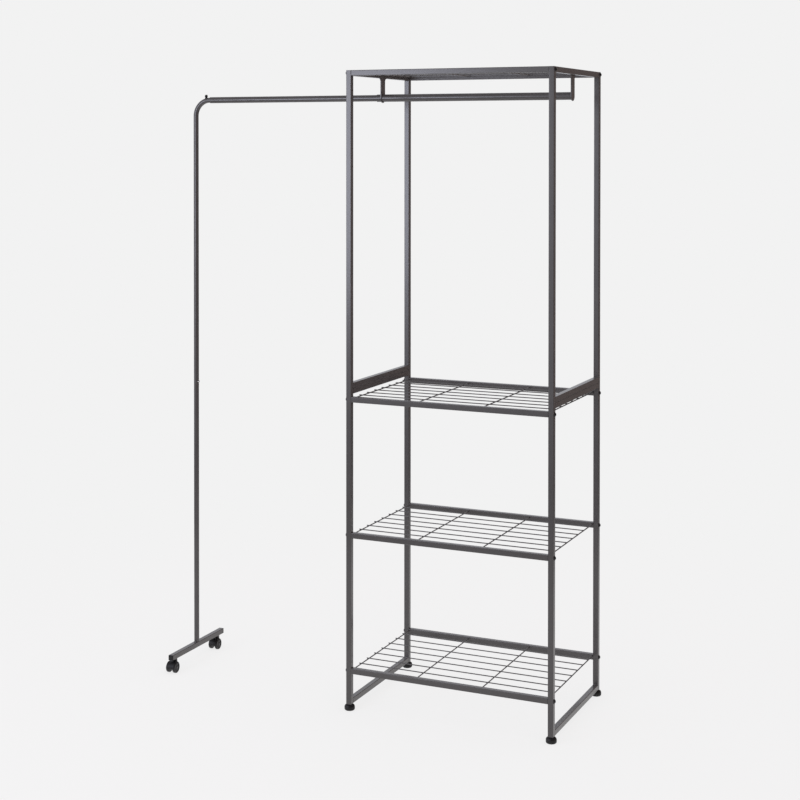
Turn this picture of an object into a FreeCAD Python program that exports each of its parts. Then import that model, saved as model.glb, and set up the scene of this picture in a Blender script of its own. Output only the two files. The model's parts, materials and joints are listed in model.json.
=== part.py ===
import FreeCAD, Part
import math
import os
import re

import Sketcher

# A clothes rack of square steel tube: two side frames, each in an upper and a lower half,
# joined by bolted rails, with four wire shelves and a hanging pipe under the top. A thinner
# pipe slides out of the hanging pipe to the left, on a bent leg with a base bar and casters.
#
# Millimetres, +Z up, the front towards -Y, the leg towards -X. The origin is on the floor,
# under the middle of the whole rack's box, with the leg pulled out as far as it goes.

SIZES = {
    # Frame
    "overall_height": 1850.0,
    "frame_width": 630.0,
    "frame_depth": 425.0,
    "tube_side": 16.0,
    "tube_wall": 1.2,
    "tube_corner": 1.6,
    "seam_height": 932.0,
    "high_shelf_drop": 23.2,
    "low_shelf_height": 123.2,
    "plug_clearance": 0.1,
    "joiner_gap": 1.9,
    "joiner_wall": 1.5,
    # Bolts that hold the rails to the posts
    "bolt_diameter": 6.0,
    "bolt_length": 32.0,
    "bolt_head_diameter": 12.0,
    "bolt_head_height": 4.5,
    "bolt_rim_height": 1.0,
    "bolt_key_width": 4.0,
    "bolt_key_depth": 2.5,
    "bolt_clearance": 0.3,
    "thread_clearance": 0.1,
    "nut_length": 20.0,
    # Wire shelves
    "long_wire_diameter": 3.0,
    "cross_wire_diameter": 3.5,
    "long_wire_pitch": 51.0,
    "long_wire_depth": 2.3,
    "long_wire_overhang": 4.0,
    "cross_wire_inset": 2.0,
    "weld_sink": 0.5,
    "top_wire_gap": 0.3,
    # Levelling feet
    "foot_diameter": 30.5,
    "foot_height": 17.3,
    "foot_edge": 5.0,
    "foot_round": 8.0,
    "foot_gap": 0.3,
    "stud_diameter": 8.0,
    "stud_length": 26.0,
    "insert_length": 20.0,
    # Hanging pipe and its brackets
    "pipe_drop": 75.4,
    "pipe_diameter": 22.2,
    "pipe_wall": 1.1,
    "bracket_thickness": 3.0,
    "bracket_margin": 3.2,
    "bracket_flare": 8.0,
    "bracket_top_drop": 2.0,
    "bracket_flare_drop": 18.0,
    "bracket_clearance": 0.1,
    # Sliding pipe
    "slide_clearance": 0.45,
    "slide_wall": 1.5,
    "slide_show": 581.0,
    "slide_overlap": 60.0,
    "guide_collar": 10.0,
    "guide_plug": 20.0,
    "guide_clearance": 0.1,
    # Leg
    "leg_clearance": 0.1,
    "leg_wall": 1.2,
    "leg_insert": 40.0,
    "elbow_gap": 3.0,
    "bend_radius": 50.0,
    "leg_seam_height": 863.8,
    "spigot_length": 60.0,
    "spigot_clearance": 0.2,
    "spigot_wall": 1.0,
    "spigot_shoulder": 2.0,
    "stop_diameter": 9.6,
    "stop_reach": 12.5,
    "stop_neck_diameter": 7.2,
    "stop_neck_height": 1.2,
    # Snap button and its leaf spring
    "button_rise": 20.5,
    "button_diameter": 6.6,
    "button_out": 3.4,
    "button_dome": 1.8,
    "button_clearance": 0.1,
    "button_flange": 1.0,
    "button_flange_diameter": 7.6,
    "button_seat": 2.5,
    "spring_thickness": 0.6,
    "spring_width": 6.0,
    "spring_length": 30.0,
    "spring_pad": 4.0,
    "spring_clearance": 0.2,
    # Base bar
    "base_length": 300.0,
    "cap_thickness": 3.0,
    "cap_edge": 0.8,
    "cap_plug": 12.0,
    "caster_inset": 24.0,
    # Casters
    "socket_wall": 2.2,
    "socket_height": 4.0,
    "stem_diameter": 8.0,
    "stem_clearance": 0.1,
    "stem_top_gap": 2.8,
    "stem_lip": 2.0,
    "swivel_gap": 0.3,
    "caster_trail": 14.5,
    "web_width": 12.8,
    "wheel_diameter": 32.0,
    "wheel_width": 8.6,
    "wheel_side_gap": 0.6,
    "wheel_edge": 2.0,
    "wheel_rim": 3.5,
    "wheel_recess": 1.2,
    "wheel_hub": 10.0,
    "wheel_hub_inset": 0.4,
    "wheel_skin": 2.5,
    "axle_diameter": 5.0,
    "axle_clearance": 0.1,
    "axle_end_gap": 0.5,
    "hood_gap": 0.8,
    "hood_thickness": 1.7,
    "hood_width": 27.5,
    "boss_rise": 1.2,
    "boss_below": 6.0,
}

LONG_WIRES = 7
CROSS_WIRE_SHARES = (-1.0, -1.0 / 3.0, 1.0 / 3.0, 1.0)

# Sizes that follow from the driving ones, as expressions on the sheet
LEG_DIAMETER = ("(pipe_diameter - 2 * pipe_wall - 2 * slide_clearance"
                " - 2 * slide_wall - 2 * leg_clearance)")
SLIDE_DIAMETER = "(pipe_diameter - 2 * pipe_wall - 2 * slide_clearance)"
CASTER_WIDTH = "(web_width + 2 * wheel_side_gap + 2 * wheel_width)"
TUBE_BORE = "(tube_side - 2 * tube_wall)"
PLUG_SIDE = "(tube_side - 2 * tube_wall - 2 * plug_clearance)"
SPIGOT_DIAMETER = f"({LEG_DIAMETER} - 2 * leg_wall - 2 * spigot_clearance)"
SPIGOT_BORE = f"({SPIGOT_DIAMETER} - 2 * spigot_wall)"
BRACKET_WIDTH = "(pipe_diameter + 2 * bracket_margin)"

# Places along X: the rack's box ends at the casters and at the right feet or bolt heads
LEG_REACH = "(frame_width / 2 + slide_show + elbow_gap + bend_radius)"
RIGHT_REACH = "(frame_width / 2 + max(bolt_head_height; (foot_diameter - tube_side) / 2))"
RACK_X = f"(({LEG_REACH} + {CASTER_WIDTH} / 2 - {RIGHT_REACH}) / 2)"
POST_X = "(frame_width / 2 - tube_side / 2)"
POST_INSIDE_X = "(frame_width / 2 - tube_side)"
PLATE_INSIDE_X = "(frame_width / 2 - tube_side - bracket_thickness)"
LEG_X = f"({RACK_X} - {LEG_REACH})"
SLIDE_MOUTH_X = f"({RACK_X} - frame_width / 2 - slide_show)"

# Places along Y
POST_Y = "(frame_depth / 2 - tube_side / 2)"
POST_INSIDE_Y = "(frame_depth / 2 - tube_side)"
CASTER_Y = "(base_length / 2 - caster_inset)"

# Places along Z
POST_FOOT_Z = "(foot_height + foot_gap)"
HIGH_SHELF_Z = "(seam_height - high_shelf_drop)"
MIDDLE_SHELF_Z = f"(({HIGH_SHELF_Z} + low_shelf_height) / 2)"
SHELVES = {
    "top": "overall_height",
    "high": HIGH_SHELF_Z,
    "middle": MIDDLE_SHELF_Z,
    "low": "low_shelf_height",
}
PIPE_Z = "(overall_height - pipe_drop)"
BUTTON_Z = "(leg_seam_height + button_rise)"
AXLE_Z = "(wheel_diameter / 2)"
HOOD_RADIUS = "(wheel_diameter / 2 + hood_gap + hood_thickness)"
SOCKET_Z = f"({AXLE_Z} + {HOOD_RADIUS} + boss_rise + swivel_gap)"
BASE_Z = f"({SOCKET_Z} + socket_height)"

SIDES = {"left": -1, "right": 1}
ENDS = {"front": -1, "rear": 1}

doc = FreeCAD.newDocument("ClothesRack")
sheet = doc.addObject("Spreadsheet::Sheet", "Sizes")
for row, (alias, size) in enumerate(SIZES.items(), start=1):
    sheet.set(f"A{row}", alias)
    sheet.set(f"B{row}", str(size))
    sheet.setAlias(f"B{row}", alias)
doc.recompute()
ALIASES = re.compile(r"\b(" + "|".join(SIZES) + r")\b")
pieces = []


def on_sheet(expression):
    """The expression with every size read from the sheet."""
    return ALIASES.sub(r"Sizes.\1", expression)


def number(expression):
    """What an expression comes to."""
    return float(sheet.evalExpression(on_sheet(expression)))


def bind(item, name, expression):
    """Let a property of an object follow an expression on the sheet."""
    item.setExpression(name, on_sheet(expression))


def put(item, x="0", y="0", z="0", turn=0):
    """Turn an object about Z by so many degrees and bind its place."""
    item.Placement = FreeCAD.Placement(
        FreeCAD.Vector(), FreeCAD.Rotation(FreeCAD.Vector(0, 0, 1), turn))
    for axis, place in zip("xyz", (x, y, z)):
        bind(item, f"Placement.Base.{axis}", place)


def new_body(name, x="0", y="0", z="0", turn=0, several=False):
    """A body with its own place; several allows solids that stand apart."""
    body = doc.addObject("PartDesign::Body", name)
    body.Label = name
    body.AllowCompound = several
    put(body, x, y, z, turn)
    return body


def keep(item):
    """Count an object as a piece of the rack, under its own label."""
    pieces.append(item)
    return item


def hold(drawing, kind, geometry, point, expression):
    """Bind one coordinate of a sketch point; kind is DistanceX or DistanceY."""
    place = number(expression)
    if place == 0:
        axis = -2 if kind == "DistanceX" else -1
        drawing.addConstraint(Sketcher.Constraint("PointOnObject", geometry, point, axis))
        return
    row = drawing.addConstraint(Sketcher.Constraint(kind, -1, 1, geometry, point, place))
    bind(drawing, f"Constraints[{row}]", expression)


def circle(u, v, diameter):
    """A full circle for a sketch."""
    def draw(drawing):
        centre = FreeCAD.Vector(number(u), number(v), 0)
        round_edge = Part.Circle(centre, FreeCAD.Vector(0, 0, 1), number(diameter) / 2)
        geometry = drawing.addGeometry(round_edge, False)
        hold(drawing, "DistanceX", geometry, 3, u)
        hold(drawing, "DistanceY", geometry, 3, v)
        row = drawing.addConstraint(
            Sketcher.Constraint("Diameter", geometry, number(diameter)))
        bind(drawing, f"Constraints[{row}]", diameter)
    return draw


def edge_between(corner, after):
    """The edge that leaves a corner, and which of its ends come first and last."""
    start = FreeCAD.Vector(number(corner[0]), number(corner[1]), 0)
    end = FreeCAD.Vector(number(after[0]), number(after[1]), 0)
    if len(corner) == 2:
        return Part.LineSegment(start, end), 1, 2
    centre = FreeCAD.Vector(number(corner[2]), number(corner[3]), 0)
    ring = Part.Circle(centre, FreeCAD.Vector(0, 0, 1), start.distanceToPoint(centre))
    angles = [math.atan2(place.y - centre.y, place.x - centre.x) for place in (start, end)]
    if corner[4] == "left":
        return Part.ArcOfCircle(ring, angles[0], angles[1]), 1, 2
    return Part.ArcOfCircle(ring, angles[1], angles[0]), 2, 1


def outline(*corners, closed=True):
    """A chain of edges for a sketch.

    A corner is (u, v) where a straight edge leaves it, or (u, v, centre u, centre v, turn)
    where an arc about that centre leaves it and turns left or right.
    """
    def draw(drawing):
        chain = []
        for corner, after in zip(corners, corners[1:] + corners[:closed]):
            edge, first, last = edge_between(corner, after)
            chain.append((drawing.addGeometry(edge, False), first, last))
        for (geometry, _, last), (following, first, _) in zip(
                chain, chain[1:] + chain[:closed]):
            drawing.addConstraint(
                Sketcher.Constraint("Coincident", geometry, last, following, first))
        for corner, (geometry, first, _) in zip(corners, chain):
            hold(drawing, "DistanceX", geometry, first, corner[0])
            hold(drawing, "DistanceY", geometry, first, corner[1])
        if not closed:
            geometry, _, last = chain[-1]
            hold(drawing, "DistanceX", geometry, last, corners[-1][0])
            hold(drawing, "DistanceY", geometry, last, corners[-1][1])
        for corner, after, (geometry, _, _) in zip(
                corners, corners[1:] + corners[:closed], chain):
            if len(corner) > 2 and number(corner[0]) == number(after[0]):
                hold(drawing, "DistanceX", geometry, 3, corner[2])
            elif len(corner) > 2:
                hold(drawing, "DistanceY", geometry, 3, corner[3])
    return draw


def square(side, corner="0"):
    """A square about the sketch's origin, with rounded corners if a radius is given."""
    half = f"({side} / 2)"
    if corner == "0":
        return outline((f"-{half}", f"-{half}"), (half, f"-{half}"),
                       (half, half), (f"-{half}", half))
    inner = f"({half} - {corner})"
    return outline(
        (f"-{inner}", f"-{half}"),
        (inner, f"-{half}", inner, f"-{inner}", "left"),
        (half, f"-{inner}"),
        (half, inner, inner, inner, "left"),
        (inner, half),
        (f"-{inner}", half, f"-{inner}", inner, "left"),
        (f"-{half}", inner),
        (f"-{half}", f"-{inner}", f"-{inner}", f"-{inner}", "left"),
    )


def sketch(body, plane, name, *loops):
    """A sketch on one of the body's own planes: XY, XZ or YZ."""
    drawing = body.newObject("Sketcher::SketchObject", f"{body.Name}_{name}")
    support = next(item for item in body.Origin.OriginFeatures if item.Role == f"{plane}_Plane")
    drawing.AttachmentSupport = [(support, "")]
    drawing.MapMode = "FlatFace"
    for loop in loops:
        loop(drawing)
    return drawing


def pad(body, drawing, length, symmetric=False, below=None):
    """Grow a sketch by a length: to one side, about its plane, or also below it."""
    feature = body.newObject("PartDesign::Pad", f"{drawing.Name}_pad")
    feature.Profile = drawing
    bind(feature, "Length", length)
    if symmetric:
        feature.SideType = "Symmetric"
    elif below:
        feature.SideType = "Two sides"
        bind(feature, "Length2", below)
    return feature


def pocket(body, drawing, depth=None, upwards=False, both=False):
    """Cut with a sketch: to a depth or right through, down, up or both ways."""
    feature = body.newObject("PartDesign::Pocket", f"{drawing.Name}_pocket")
    feature.Profile = drawing
    feature.Reversed = upwards
    if both:
        feature.SideType = "Symmetric"
    if depth:
        bind(feature, "Length", depth)
    else:
        feature.Type = "ThroughAll"
    return feature


def revolve(body, drawing, axis):
    """Turn a sketch about its own upright (V_Axis) or level (H_Axis) axis."""
    feature = body.newObject("PartDesign::Revolution", f"{drawing.Name}_turned")
    feature.Profile = drawing
    feature.ReferenceAxis = (drawing, [axis])
    return feature


def copies(name, form, places):
    """One piece of several equal solids: links to one form, each at its own place."""
    links = []
    for count, place in enumerate(places, start=1):
        link = doc.addObject("App::Link", f"{name}_{count}")
        link.LinkedObject = form
        put(link, *place)
        links.append(link)
    group = doc.addObject("Part::Compound", name)
    group.Label = name
    group.Links = links
    return keep(group)


def at(sign, expression):
    """An expression, or its negative for a side or end of -1."""
    return expression if sign > 0 else f"-{expression}"


def rack_x(sign, expression):
    """The place along X that lies so far left (-1) or right (1) of the rack's middle."""
    return f"({RACK_X} {'+' if sign > 0 else '-'} {expression})"


def square_tube(name, plane, length, place, closed_end=False):
    """A square tube along an axis; along Z it starts at its place, else it is centred."""
    body = keep(new_body(name, *place))
    along_z = plane == "XY"
    outside = sketch(body, plane, "outside", square("tube_side", "tube_corner"))
    pad(body, outside, length, symmetric=not along_z)
    inside = sketch(body, plane, "inside", square(TUBE_BORE))
    if closed_end:
        pocket(body, inside, f"({length} - tube_wall)", upwards=True)
    else:
        pocket(body, inside, upwards=along_z, both=not along_z)
    return body


def ring(outer, wall):
    """The section of a round tube, as two circles."""
    return circle("0", "0", outer), circle("0", "0", f"({outer} - 2 * {wall})")


def bolt_holes(body, foot, heights):
    """Holes through a post, along X, at heights above the floor."""
    holes = [circle("0", f"({height} - tube_side / 2 - {foot})",
                    "(bolt_diameter + 2 * bolt_clearance)") for height in heights]
    pocket(body, sketch(body, "YZ", "bolt_holes", *holes), both=True)


# Posts: the upper ones are closed at the top, the lower ones open at both ends
for side, left_right in SIDES.items():
    for end, front_rear in ENDS.items():
        place = (rack_x(left_right, POST_X), at(front_rear, POST_Y))
        upper = square_tube(f"post_upper_{side}_{end}", "XY", "(overall_height - seam_height)",
                            (*place, "seam_height"), closed_end=True)
        bolt_holes(upper, "seam_height", ["overall_height"])
        lower = square_tube(f"post_lower_{side}_{end}", "XY", f"(seam_height - {POST_FOOT_Z})",
                            (*place, POST_FOOT_Z))
        bolt_holes(lower, POST_FOOT_Z, [HIGH_SHELF_Z, MIDDLE_SHELF_Z, "low_shelf_height"])

# Side bars: welded between the posts, two on each half of a side frame
SIDE_BARS = {
    "top": "(overall_height - tube_side / 2)",
    "joint_upper": "(seam_height + tube_side / 2)",
    "joint_lower": "(seam_height - tube_side / 2)",
    "foot": f"({POST_FOOT_Z} + tube_side / 2)",
}
for side, left_right in SIDES.items():
    for level, height in SIDE_BARS.items():
        square_tube(f"side_bar_{side}_{level}", "XZ", f"(2 * {POST_INSIDE_Y})",
                    (rack_x(left_right, POST_X), "0", height))

# Rails: bolted between the posts, two for each shelf
for level, height in SHELVES.items():
    for end, front_rear in ENDS.items():
        square_tube(f"rail_{level}_{end}", "YZ", f"(2 * {POST_INSIDE_X})",
                    (RACK_X, at(front_rear, POST_Y), f"({height} - tube_side / 2)"))


def wire_shelf(level, height):
    """Long wires along X on top of cross wires that are welded between the rails."""
    if level == "top":
        end_wire = f"({PLATE_INSIDE_X} - cross_wire_diameter / 2 - top_wire_gap)"
        reach = f"({PLATE_INSIDE_X} - top_wire_gap)"
    else:
        end_wire = f"({POST_INSIDE_X} - cross_wire_inset)"
        reach = f"({end_wire} + long_wire_overhang)"
    body = keep(new_body(f"wire_shelf_{level}", RACK_X, "0", f"({height} - long_wire_depth)",
                         several=True))
    sink = "(long_wire_diameter / 2 + cross_wire_diameter / 2 - weld_sink)"
    cross_wires = [circle(f"({share} * {end_wire})", f"-{sink}", "cross_wire_diameter")
                   for share in CROSS_WIRE_SHARES]
    pad(body, sketch(body, "XZ", "cross_wires", *cross_wires),
        f"(2 * {POST_INSIDE_Y})", symmetric=True)
    steps = [count - (LONG_WIRES - 1) // 2 for count in range(LONG_WIRES)]
    long_wires = [circle(f"({step} * long_wire_pitch)", "0", "long_wire_diameter")
                  for step in steps]
    pad(body, sketch(body, "YZ", "long_wires", *long_wires), f"(2 * {reach})", symmetric=True)


for level, height in SHELVES.items():
    wire_shelf(level, height)


# Joiners: square tubes inside the posts, half above and half below the seam, that stop
# short of the high shelf's bolts
joiner = new_body("joiner_form")
JOINER_LENGTH = ("(2 * (high_shelf_drop + tube_side / 2 - bolt_diameter / 2"
                 " - bolt_clearance - joiner_gap))")
pad(joiner, sketch(joiner, "XY", "outside", square(PLUG_SIDE)), JOINER_LENGTH, symmetric=True)
pocket(joiner, sketch(joiner, "XY", "inside", square(f"({PLUG_SIDE} - 2 * joiner_wall)")),
       both=True)
copies("post_joiners", joiner, [
    (rack_x(left_right, POST_X), at(front_rear, POST_Y), "seam_height")
    for left_right in SIDES.values() for front_rear in ENDS.values()])

# Bolts: a domed head on the outer face of each post, with a socket for a key
DOME_RADIUS = ("(((bolt_head_height - bolt_rim_height)^2 + (bolt_head_diameter / 2)^2)"
               " / (2 * (bolt_head_height - bolt_rim_height)))")
bolt = new_body("bolt_form")
revolve(bolt, sketch(bolt, "XZ", "section", outline(
    ("-bolt_length", "0"),
    ("-bolt_length", "(bolt_diameter / 2)"),
    ("0", "(bolt_diameter / 2)"),
    ("0", "(bolt_head_diameter / 2)"),
    ("bolt_rim_height", "(bolt_head_diameter / 2)",
     f"(bolt_head_height - {DOME_RADIUS})", "0", "right"),
    ("bolt_head_height", "0"),
)), "H_Axis")
pocket(bolt, sketch(bolt, "YZ", "key_socket", circle("0", "0", "bolt_key_width")),
       "bolt_key_depth", upwards=True)

# Nuts: threaded plugs in the ends of the rails
nut = new_body("nut_form")
pad(nut, sketch(nut, "YZ", "section", square(PLUG_SIDE),
                circle("0", "0", "(bolt_diameter + 2 * thread_clearance)")), "nut_length")

bolt_places = []
nut_places = []
for height in SHELVES.values():
    for front_rear in ENDS.values():
        for left_right in SIDES.values():
            across = (at(front_rear, POST_Y), f"({height} - tube_side / 2)")
            outwards = 0 if left_right > 0 else 180
            bolt_places.append(
                (rack_x(left_right, "(frame_width / 2)"), *across, outwards))
            nut_places.append(
                (rack_x(left_right, POST_INSIDE_X), *across, 180 - outwards))
copies("rail_bolts", bolt, bolt_places)
copies("rail_nuts", nut, nut_places)

# Inserts: threaded plugs in the lower ends of the posts, for the feet
insert = new_body("insert_form")
pad(insert, sketch(insert, "XY", "section", square(PLUG_SIDE),
                   circle("0", "0", "(stud_diameter + 2 * thread_clearance)")), "insert_length")
copies("foot_inserts", insert, [
    (rack_x(left_right, POST_X), at(front_rear, POST_Y), POST_FOOT_Z)
    for left_right in SIDES.values() for front_rear in ENDS.values()])


def foot(name, x, y):
    """A levelling foot: a flat-bottomed round foot with a threaded stud."""
    body = keep(new_body(name, x, y))
    radius = "(foot_diameter / 2)"
    revolve(body, sketch(body, "XZ", "section", outline(
        ("0", "0"),
        (f"({radius} - foot_edge)", "0", f"({radius} - foot_edge)", "foot_edge", "left"),
        (radius, "foot_edge"),
        (radius, "(foot_height - foot_round)",
         f"({radius} - foot_round)", "(foot_height - foot_round)", "left"),
        (f"({radius} - foot_round)", "foot_height"),
        ("(stud_diameter / 2)", "foot_height"),
        ("(stud_diameter / 2)", "(foot_height + stud_length)"),
        ("0", "(foot_height + stud_length)"),
    )), "V_Axis")


for side, left_right in SIDES.items():
    for end, front_rear in ENDS.items():
        foot(f"foot_{side}_{end}", rack_x(left_right, POST_X), at(front_rear, POST_Y))


def hanger_bracket(name, x, pipe_passes):
    """A plate on a top side bar's inner face that drops to the pipe and rounds it below."""
    body = keep(new_body(name, x, "0", PIPE_Z))
    half = f"({BRACKET_WIDTH} / 2)"
    wide = f"({half} + bracket_flare)"
    top = "(pipe_drop - bracket_top_drop)"
    flare = "(pipe_drop - bracket_flare_drop)"
    neck = f"({flare} - bracket_flare)"
    loops = [outline(
        (f"-{wide}", top),
        (f"-{wide}", flare, f"-{wide}", neck, "right"),
        (f"-{half}", neck),
        (f"-{half}", "0", "0", "0", "left"),
        (half, "0"),
        (half, neck, wide, neck, "right"),
        (wide, flare),
        (wide, top),
    )]
    if pipe_passes:
        loops.append(circle("0", "0", "(pipe_diameter + 2 * bracket_clearance)"))
    pad(body, sketch(body, "YZ", "plate", *loops), "bracket_thickness")


hanger_bracket("hanger_bracket_left", rack_x(-1, POST_INSIDE_X), pipe_passes=True)
hanger_bracket("hanger_bracket_right", rack_x(1, PLATE_INSIDE_X), pipe_passes=False)


def round_tube(name, place, length, *loops):
    """A round tube along X that starts at its place."""
    body = keep(new_body(name, *place))
    pad(body, sketch(body, "YZ", "section", *loops), length)
    return body


# Pipes: the sliding one runs inside the fixed one, from the mouth at the frame's left face
round_tube("hanger_pipe", (rack_x(-1, "(frame_width / 2)"), "0", PIPE_Z),
           f"(frame_width / 2 + {PLATE_INSIDE_X})", *ring("pipe_diameter", "pipe_wall"))
SLIDE_LENGTH = "(slide_show + slide_overlap)"
round_tube("slide_pipe", (SLIDE_MOUTH_X, "0", PIPE_Z), SLIDE_LENGTH,
           *ring(SLIDE_DIAMETER, "slide_wall"))

# Guide: a plastic plug in the sliding pipe's inner end, whose collar runs in the fixed pipe
guide = keep(new_body("slide_guide", f"({SLIDE_MOUTH_X} + {SLIDE_LENGTH})", "0", PIPE_Z))
GUIDE_BORE = f"({SLIDE_DIAMETER} - 2 * slide_wall - 2 * plug_clearance)"
pad(guide, sketch(guide, "YZ", "collar", circle(
    "0", "0", "(pipe_diameter - 2 * pipe_wall - 2 * guide_clearance)")), "guide_collar")
pad(guide, sketch(guide, "YZ", "plug", circle("0", "0", GUIDE_BORE)),
    "guide_collar", below="guide_plug")

# Upper leg: a tube that leaves the sliding pipe level, bends down and ends at the leg's seam
leg = keep(new_body("upper_leg", f"({SLIDE_MOUTH_X} + leg_insert)", "0", PIPE_Z))
BEND_START = "(leg_insert + elbow_gap)"
LEG_OUT = f"({BEND_START} + bend_radius)"
leg_route = sketch(leg, "XZ", "route", outline(
    ("0", "0"),
    (f"-{BEND_START}", "0", f"-{BEND_START}", "-bend_radius", "left"),
    (f"-{LEG_OUT}", "-bend_radius"),
    (f"-{LEG_OUT}", f"(leg_seam_height - {PIPE_Z})"),
    closed=False,
))
for name, diameter, kind in (
        ("outside", LEG_DIAMETER, "PartDesign::AdditivePipe"),
        ("inside", f"({LEG_DIAMETER} - 2 * leg_wall)", "PartDesign::SubtractivePipe")):
    swept = leg.newObject(kind, f"upper_leg_{name}_swept")
    swept.Profile = sketch(leg, "YZ", name, circle("0", "0", diameter))
    swept.Spine = (leg_route, ["Edge1", "Edge2", "Edge3"])
leg_hole = sketch(leg, "YZ", "button_hole", circle(
    "0", f"({BUTTON_Z} - {PIPE_Z})", "(button_diameter + 2 * button_clearance)"))
leg_hole.AttachmentOffset = FreeCAD.Placement(
    FreeCAD.Vector(0, 0, -number(LEG_OUT)), FreeCAD.Rotation())
bind(leg_hole, "AttachmentOffset.Base.z", f"-{LEG_OUT}")
pocket(leg, leg_hole, upwards=True)

# Hanger stop: a plastic ball on a short neck, bonded to the bend's outer side
STOP_X = f"({LEG_X} + bend_radius - stop_reach)"
STOP_CENTRE = f"(bend_radius + {LEG_DIAMETER} / 2 + stop_neck_height + stop_diameter / 2)"
STOP_RISE = f"(sqrt({STOP_CENTRE}^2 - stop_reach^2) - bend_radius)"
ball = doc.addObject("Part::Sphere", "stop_ball")
bind(ball, "Radius", "(stop_diameter / 2)")
put(ball, STOP_X, "0", f"({PIPE_Z} + {STOP_RISE})")
neck = doc.addObject("Part::Cylinder", "stop_neck")
bind(neck, "Radius", "(stop_neck_diameter / 2)")
bind(neck, "Height", STOP_RISE)
put(neck, STOP_X, "0", PIPE_Z)
stop_form = doc.addObject("Part::Fuse", "stop_form")
stop_form.Base = ball
stop_form.Tool = neck
bend = doc.addObject("Part::Torus", "stop_seat")
bind(bend, "Radius1", "bend_radius")
bind(bend, "Radius2", f"({LEG_DIAMETER} / 2)")
bend.Placement.Rotation = FreeCAD.Rotation(FreeCAD.Vector(1, 0, 0), 90)
for axis, place in zip("xyz", (f"({LEG_X} + bend_radius)", "0", f"({PIPE_Z} - bend_radius)")):
    bind(bend, f"Placement.Base.{axis}", place)
stop = keep(doc.addObject("Part::Cut", "hanger_stop"))
stop.Label = "hanger_stop"
stop.Base = stop_form
stop.Tool = bend

# Lower leg: stands on the base bar, and its narrowed end goes up inside the upper leg
lower_leg = keep(new_body("lower_leg", LEG_X, "0", f"({BASE_Z} + tube_side)"))
LOWER_LENGTH = f"(leg_seam_height - {BASE_Z} - tube_side)"
revolve(lower_leg, sketch(lower_leg, "XZ", "section", outline(
    (f"({LEG_DIAMETER} / 2 - leg_wall)", "0"),
    (f"({LEG_DIAMETER} / 2)", "0"),
    (f"({LEG_DIAMETER} / 2)", LOWER_LENGTH),
    (f"({SPIGOT_DIAMETER} / 2)", LOWER_LENGTH),
    (f"({SPIGOT_DIAMETER} / 2)", f"({LOWER_LENGTH} + spigot_length)"),
    (f"({SPIGOT_BORE} / 2)", f"({LOWER_LENGTH} + spigot_length)"),
    (f"({SPIGOT_BORE} / 2)", f"({LOWER_LENGTH} - spigot_shoulder)"),
    (f"({LEG_DIAMETER} / 2 - leg_wall)", f"({LOWER_LENGTH} - spigot_shoulder)"),
)), "V_Axis")
pocket(lower_leg, sketch(lower_leg, "YZ", "button_hole", circle(
    "0", f"({LOWER_LENGTH} + button_rise)", "(button_diameter + 2 * button_clearance)")),
    upwards=True)

# Snap button: a domed pin through both tubes, with a flange inside that keeps it in
BUTTON_TIP = f"({LEG_DIAMETER} / 2 + button_out)"
button = keep(new_body("snap_button", LEG_X, "0", BUTTON_Z))
DOME_BACK = "((button_dome^2 + (button_diameter / 2)^2) / (2 * button_dome))"
revolve(button, sketch(button, "XZ", "section", outline(
    ("button_seat", "0"),
    ("button_seat", "(button_flange_diameter / 2)"),
    ("(button_seat + button_flange)", "(button_flange_diameter / 2)"),
    ("(button_seat + button_flange)", "(button_diameter / 2)"),
    (f"({BUTTON_TIP} - button_dome)", "(button_diameter / 2)",
     f"({BUTTON_TIP} - {DOME_BACK})", "0", "right"),
    (BUTTON_TIP, "0"),
)), "H_Axis")

# Button spring: a bent leaf between the button's back and the far side of the lower leg
spring = keep(new_body("button_spring", LEG_X, "0", BUTTON_Z))
SPRING_BACK = f"(sqrt(({SPIGOT_BORE} / 2)^2 - (spring_width / 2)^2) - spring_clearance)"
pad(spring, sketch(spring, "XZ", "section", outline(
    (f"-{SPRING_BACK}", "-spring_length"),
    (f"(2 * spring_thickness - {SPRING_BACK})", "-spring_length"),
    ("button_seat", "-spring_pad"),
    ("button_seat", "spring_pad"),
    ("(button_seat - spring_thickness)", "spring_pad"),
    ("(button_seat - spring_thickness)", "-spring_pad"),
    (f"(spring_thickness - {SPRING_BACK})", "(spring_thickness - spring_length)"),
    (f"(spring_thickness - {SPRING_BACK})", "spring_pad"),
    (f"-{SPRING_BACK}", "spring_pad"),
)), "spring_width", symmetric=True)

# Base bar: along Y under the leg, with holes in its lower side for the caster stems
base_bar = square_tube("base_bar", "XZ", "base_length", (LEG_X, "0", f"({BASE_Z} + tube_side / 2)"))
stem_holes = [circle("0", at(end, CASTER_Y), "(stem_diameter + 2 * stem_clearance)")
              for end in ENDS.values()]
pocket(base_bar, sketch(base_bar, "XY", "stem_holes", *stem_holes))

# End caps: a plate over each end of the base bar, with a plug inside it
cap = new_body("cap_form")
cap_sketch = sketch(cap, "XZ", "plate", square("tube_side", "cap_edge"))
pad(cap, cap_sketch, "cap_thickness")
pad(cap, sketch(cap, "XZ", "plug", square(PLUG_SIDE)), "cap_thickness", below="cap_plug")
copies("base_end_caps", cap, [
    (LEG_X, at(end, "(base_length / 2)"), f"({BASE_Z} + tube_side / 2)", 0 if end < 0 else 180)
    for end in ENDS.values()])

# Sockets: short tubes welded under the base bar, one for each caster's stem
socket = new_body("socket_form")
STEM_BORE = "(stem_diameter + 2 * stem_clearance)"
pad(socket, sketch(socket, "XY", "section", *ring(f"({STEM_BORE} + 2 * socket_wall)",
                                                  "socket_wall")), "socket_height")
copies("caster_sockets", socket, [
    (LEG_X, at(end, CASTER_Y), SOCKET_Z) for end in ENDS.values()])

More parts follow.
